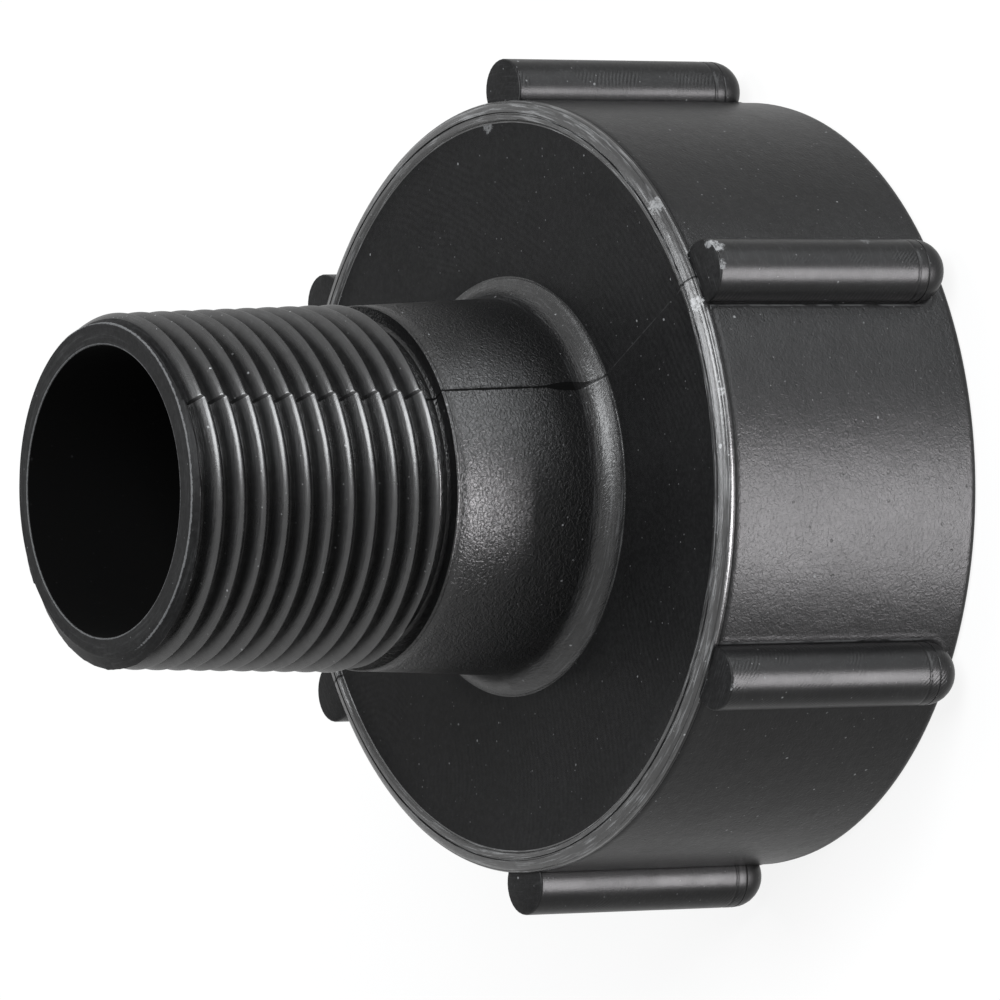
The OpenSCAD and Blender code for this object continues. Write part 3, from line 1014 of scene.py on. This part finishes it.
def moulding_finishes() -> dict[Zone, bpy.types.Material]:
    """Makes the finish of every zone of the moulding."""
    rim_scuffs = (Scuff(-64.0, 35.6, 28.3, 1.6), Scuff(-46.0, 36.0, 28.0, 2.0, 0.5),
                  Scuff(-86.0, 35.6, 28.4, 0.5), Scuff(-78.0, 36.1, 28.0, 0.8, 0.8))
    # The swell of the neck's painted seam shade.
    seam_shade_blister = Scuff(-60.0, 17.9, 31.3, 2.6, 0.32)
    rib_scuffs = (Scuff(-57.0, 40.0, 10.2, 1.6, 0.35), Scuff(-58.5, 39.9, 27.4, 1.9),
                  Scuff(-61.5, 40.0, 27.5, 1.1, 0.8), Scuff(-119.0, 40.0, 27.6, 0.8, 0.7))
    finishes = {
        Zone.BORE: PlasticFinish("bore_finish", base=(0.0015, 0.0015, 0.0015), roughness=0.5, specular=0.06,
                                 matt_share=0.85,
                                 lines_height=0.012, lines_scale=2.2, mottle=0.004, dust=0.25),
        Zone.END: PlasticFinish("spigot_end_finish", roughness=0.45, specular=0.16, matt_share=0.4,
                                grain_scale=2.6,
                                grain_height=0.02, mottle=0.035, dust=0.9, wear_and_sheen=0.06,
                                worn_edges=(WornEdge(15.45, 72.7, 0.3, 0.45),
                                            WornEdge(16.25, 71.8, 0.55, 0.9, -70.0, 80.0),
                                            WornEdge(13.5, 72.68, 0.2, 0.35))),
        # The thread's grooves get painted shade by their depth.
        Zone.THREAD: PlasticFinish("thread_finish", roughness=0.27, specular=0.95, matt_share=0.12,
                                   groove_shade=0.7, grain_scale=2.2,
                                   grain_height=0.008, lines_height=0.012, lines_scale=5.0, dust=0.9,
                                   mottle=0.01, wear_and_sheen=0.04),
        # The neck's dark seam line and its blister are painted shade.
        Zone.NECK: PlasticFinish("neck_finish", roughness=0.31, specular=0.72, matt_share=0.38, grain_scale=3.4,
                                 grain_height=0.085, wave_height=0.02, fine_height=0.004, dust=0.9,
                                 mottle=0.008, seam_shade=1.0, seam_shade_swell=seam_shade_blister),
        # The face's pale seam dashes are painted glints.
        Zone.FACE: PlasticFinish("face_finish", roughness=0.40, specular=0.12, matt_share=0.5, grain_scale=2.0,
                                 grain_height=0.008, arcs_height=0.002, mottle=0.03, dust=0.8, seam_glint=0.07,
                                 scuffs=(Scuff(3.0, 34.0, 28.2, 1.6, 0.6),)),
        # The rim's worn streaks are strong enough to paint its band's sheen too, and its dark seam line is painted
        # shade.
        Zone.RIM: PlasticFinish("rim_finish", roughness=0.28, specular=1.0, matt_share=0.1, grain_scale=3.0,
                                grain_height=0.016, lines_height=0.02, lines_scale=6.0, dust=0.9, wear_and_sheen=0.42,
                                scuffs=rim_scuffs, seam_shade=0.8),
        # The cove's dark seam line is painted shade.
        Zone.COVE: PlasticFinish("cove_finish", roughness=0.30, specular=0.7, matt_share=0.25, grain_scale=3.4,
                                 grain_height=0.05, lines_height=0.01, lines_scale=6.0, dust=0.9, wear_and_sheen=0.12,
                                 seam_shade=0.8, seam_shade_swell=seam_shade_blister),
        Zone.SKIRT: PlasticFinish("skirt_finish", roughness=0.34, specular=0.29, matt_share=0.38,
                                  grain_scale=3.0,
                                  grain_height=0.032, wave_height=0.05, pit_depth=0.02, mottle=0.012,
                                  chatter_height=0.0012, chatter_spacing=0.45, chatter_tilt=-35.0,
                                  dust=0.9, wear_and_sheen=0.012, witness_line=0.3),
        Zone.RIB: PlasticFinish("rib_finish", roughness=0.33, specular=0.25, matt_share=0.3, grain_scale=3.0,
                                grain_height=0.006, chatter_height=0.004, dust=0.8, mottle=0.012, wear_and_sheen=0.04,
                                scuffs=rib_scuffs),
        Zone.RIB_END: PlasticFinish("rib_end_finish", roughness=0.5, specular=0.14, matt_share=0.4,
                                    grain_scale=2.8,
                                    grain_height=0.03, mottle=0.035, dust=0.9, wear_and_sheen=0.05,
                                    scuffs=(Scuff(-57.5, 39.4, 27.6, 1.2, 0.9),)),
        Zone.INSIDE: PlasticFinish("inside_finish", roughness=0.36, specular=0.3, matt_share=0.3,
                                   grain_scale=2.0,
                                   grain_height=0.01, lines_height=0.01, mottle=0.01, dust=0.5),
    }
    return {zone: finish.make() for zone, finish in finishes.items()}


@dataclass
class PhotoCamera:
    """The photograph's viewpoint: a long lens that looks along the ribs' side of the spigot."""

    off_axis: float = 56.576
    roll: float = -0.722
    turn: float = -91.5
    target_z: float = 28.2
    distance: float = 1004.2
    focal_pixels: float = 10708.5
    frame_pixels: float = 1000.0
    target_pixel: tuple[float, float] = (508.17, 486.66)
    sensor: float = 36.0

    def build(self) -> bpy.types.Object:
        """Makes the camera and sets it as the scene's.

        Returns:
            The camera's object.
        """
        tilt, roll = math.radians(self.off_axis), math.radians(self.roll)
        toward = Vector((math.sin(tilt), 0.0, math.cos(tilt)))
        right = Vector((math.cos(tilt), 0.0, -math.sin(tilt)))
        up = toward.cross(right)
        right, up = (math.cos(roll) * right + math.sin(roll) * up, math.cos(roll) * up - math.sin(roll) * right)
        middle = self.frame_pixels / 2
        per_pixel = self.distance / self.focal_pixels
        aside = (self.target_pixel[0] - middle) * per_pixel
        above = (middle - self.target_pixel[1]) * per_pixel
        place = toward * self.distance - right * aside - up * above
        turned = Matrix.Rotation(math.radians(self.turn), 4, "Z")
        lift = Matrix.Translation((0.0, 0.0, self.target_z * MM))
        rotation = Matrix((right, up, toward)).transposed().to_4x4()
        data = bpy.data.cameras.new("photo_camera")
        data.sensor_width = self.sensor
        data.lens = self.focal_pixels * self.sensor / self.frame_pixels
        data.clip_end = 10.0
        made = bpy.data.objects.new("photo_camera", data)
        made.matrix_world = lift @ turned @ Matrix.Translation(place * MM) @ rotation
        bpy.context.scene.collection.objects.link(made)
        bpy.context.scene.camera = made
        return made


@dataclass(frozen=True)
class Softbox:
    """A rectangular lamp that looks at the part from a direction."""

    name: str
    direction: float
    elevation: float
    distance: float
    width: float
    height: float
    power: float
    tint: tuple[float, float, float] = (1.0, 1.0, 1.0)
    gloss_only: bool = False

    def build(self, target: Vector) -> bpy.types.Object:
        """Makes the lamp.

        Args:
            target: the point that it faces, in metres.

        Returns:
            The lamp's object.
        """
        data = bpy.data.lights.new(self.name, "AREA")
        data.shape = "RECTANGLE"
        data.size, data.size_y = self.width, self.height
        data.energy = self.power
        data.color = self.tint
        made = bpy.data.objects.new(self.name, data)
        made.visible_diffuse = not self.gloss_only
        turn, rise = math.radians(self.direction), math.radians(self.elevation)
        away = Vector((math.cos(rise) * math.cos(turn), math.cos(rise) * math.sin(turn), math.sin(rise)))
        made.location = target + away * self.distance
        made.rotation_euler = away.to_track_quat("Z", "Y").to_euler()
        bpy.context.scene.collection.objects.link(made)
        return made


@dataclass
class Studio:
    """Plain pale floor, white surroundings and soft lamps."""

    floor_size: float = 6.0
    floor_white: float = 0.86
    shadow_share: float = 0.12
    ambient: float = 0.25
    target: Vector = field(default_factory=lambda: Vector((0.0, 0.0, 0.036)))
    lamps: tuple[Softbox, ...] = (
        Softbox("front_softbox", -102.0, -33.0, 0.9, 0.50, 0.30, 16.0, (1.0, 0.975, 1.0), True),
        Softbox("front_wide_softbox", -46.5, -22.0, 0.9, 0.84, 0.30, 6.0, (0.95, 0.975, 1.0), True),
        Softbox("upper_softbox", -52.0, 46.0, 0.9, 0.55, 0.55, 11.0, (0.96, 0.98, 1.0)),
        Softbox("back_softbox", 48.0, 72.0, 0.9, 0.4, 0.4, 4.0, (0.96, 0.98, 1.0)),
    )

    @staticmethod
    def seen_directly(graph: Graph) -> Field:
        """1 for rays from the camera, from gloss and through clear things, and 0 for the rest."""
        rays = graph.node("ShaderNodeLightPath").outputs
        camera, glossy, clear = (Field(graph, rays[name]) for name in
                                 ("Is Camera Ray", "Is Glossy Ray", "Is Transmission Ray"))
        return (camera + glossy + clear).clamped()

    def build_floor(self) -> bpy.types.Object:
        """Makes the floor that the part stands on, white to the eye and with the part's soft shadow."""
        half = self.floor_size / 2
        mesh = bpy.data.meshes.new("floor")
        corners = [(-half, -half, 0.0), (half, -half, 0.0), (half, half, 0.0), (-half, half, 0.0)]
        mesh.from_pydata(corners, [], [(0, 1, 2, 3)])
        graph = Graph("floor_finish")
        tint = (self.floor_white,) * 3 + (1.0,)
        matt = graph.node("ShaderNodeBsdfDiffuse", {}, {"Color": tint})
        white = graph.node("ShaderNodeEmission", {}, {"Color": (1.0, 1.0, 1.0, 1.0), "Strength": 1.0})
        share = self.seen_directly(graph) * (1.0 - self.shadow_share)
        mix = graph.node("ShaderNodeMixShader", {}, {0: share, 1: matt.outputs[0], 2: white.outputs[0]})
        graph.node("ShaderNodeOutputMaterial", {}, {0: mix.outputs[0]})
        mesh.materials.append(graph.material)
        made = bpy.data.objects.new("floor", mesh)
        made.visible_shadow = False
        made.visible_glossy = False
        bpy.context.scene.collection.objects.link(made)
        return made

    def build_world(self) -> None:
        """Makes the surroundings: white to the eye, dim as light."""
        world = bpy.data.worlds.new("studio")
        bpy.context.scene.world = world
        world.use_nodes = True
        tree = world.node_tree
        tree.nodes.clear()
        rays = tree.nodes.new("ShaderNodeLightPath")
        total = tree.nodes.new("ShaderNodeMath")
        total.operation = "ADD"
        tree.links.new(rays.outputs["Is Camera Ray"], total.inputs[0])
        tree.links.new(rays.outputs["Is Glossy Ray"], total.inputs[1])
        every = tree.nodes.new("ShaderNodeMath")
        every.operation = "ADD"
        every.use_clamp = True
        tree.links.new(total.outputs[0], every.inputs[0])
        tree.links.new(rays.outputs["Is Transmission Ray"], every.inputs[1])
        dim, white = (tree.nodes.new("ShaderNodeBackground") for _ in range(2))
        dim.inputs[1].default_value = self.ambient
        dim.inputs[0].default_value = white.inputs[0].default_value = (1.0, 1.0, 1.0, 1.0)
        white.inputs[1].default_value = 1.0
        mix = tree.nodes.new("ShaderNodeMixShader")
        tree.links.new(every.outputs[0], mix.inputs[0])
        tree.links.new(dim.outputs[0], mix.inputs[1])
        tree.links.new(white.outputs[0], mix.inputs[2])
        out = tree.nodes.new("ShaderNodeOutputWorld")
        tree.links.new(mix.outputs[0], out.inputs[0])

    def build(self) -> None:
        """Makes the floor, the surroundings and the lamps."""
        self.build_floor()
        self.build_world()
        for lamp in self.lamps:
            lamp.build(self.target)
        bpy.context.scene.view_settings.view_transform = "Standard"


def main() -> None:
    """Builds every piece in order and reports each one."""
    logging.basicConfig(level=logging.INFO, format="%(name)s: %(message)s")
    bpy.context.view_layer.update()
    PhotoCamera().build()
    LOG.info("camera placed")
    Studio().build()
    LOG.info("studio built")
    moulding = Moulding()
    made = moulding.build()
    moulding.dress(made, moulding_finishes())
    LOG.info("%s: %d faces", made.name, len(made.data.polygons))
    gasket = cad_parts[GASKET_NODE]
    gasket.data.materials.clear()
    gasket.data.materials.append(RubberFinish().make())
    LOG.info("%s dressed", gasket.name)


if __name__ == "__main__":
    main()
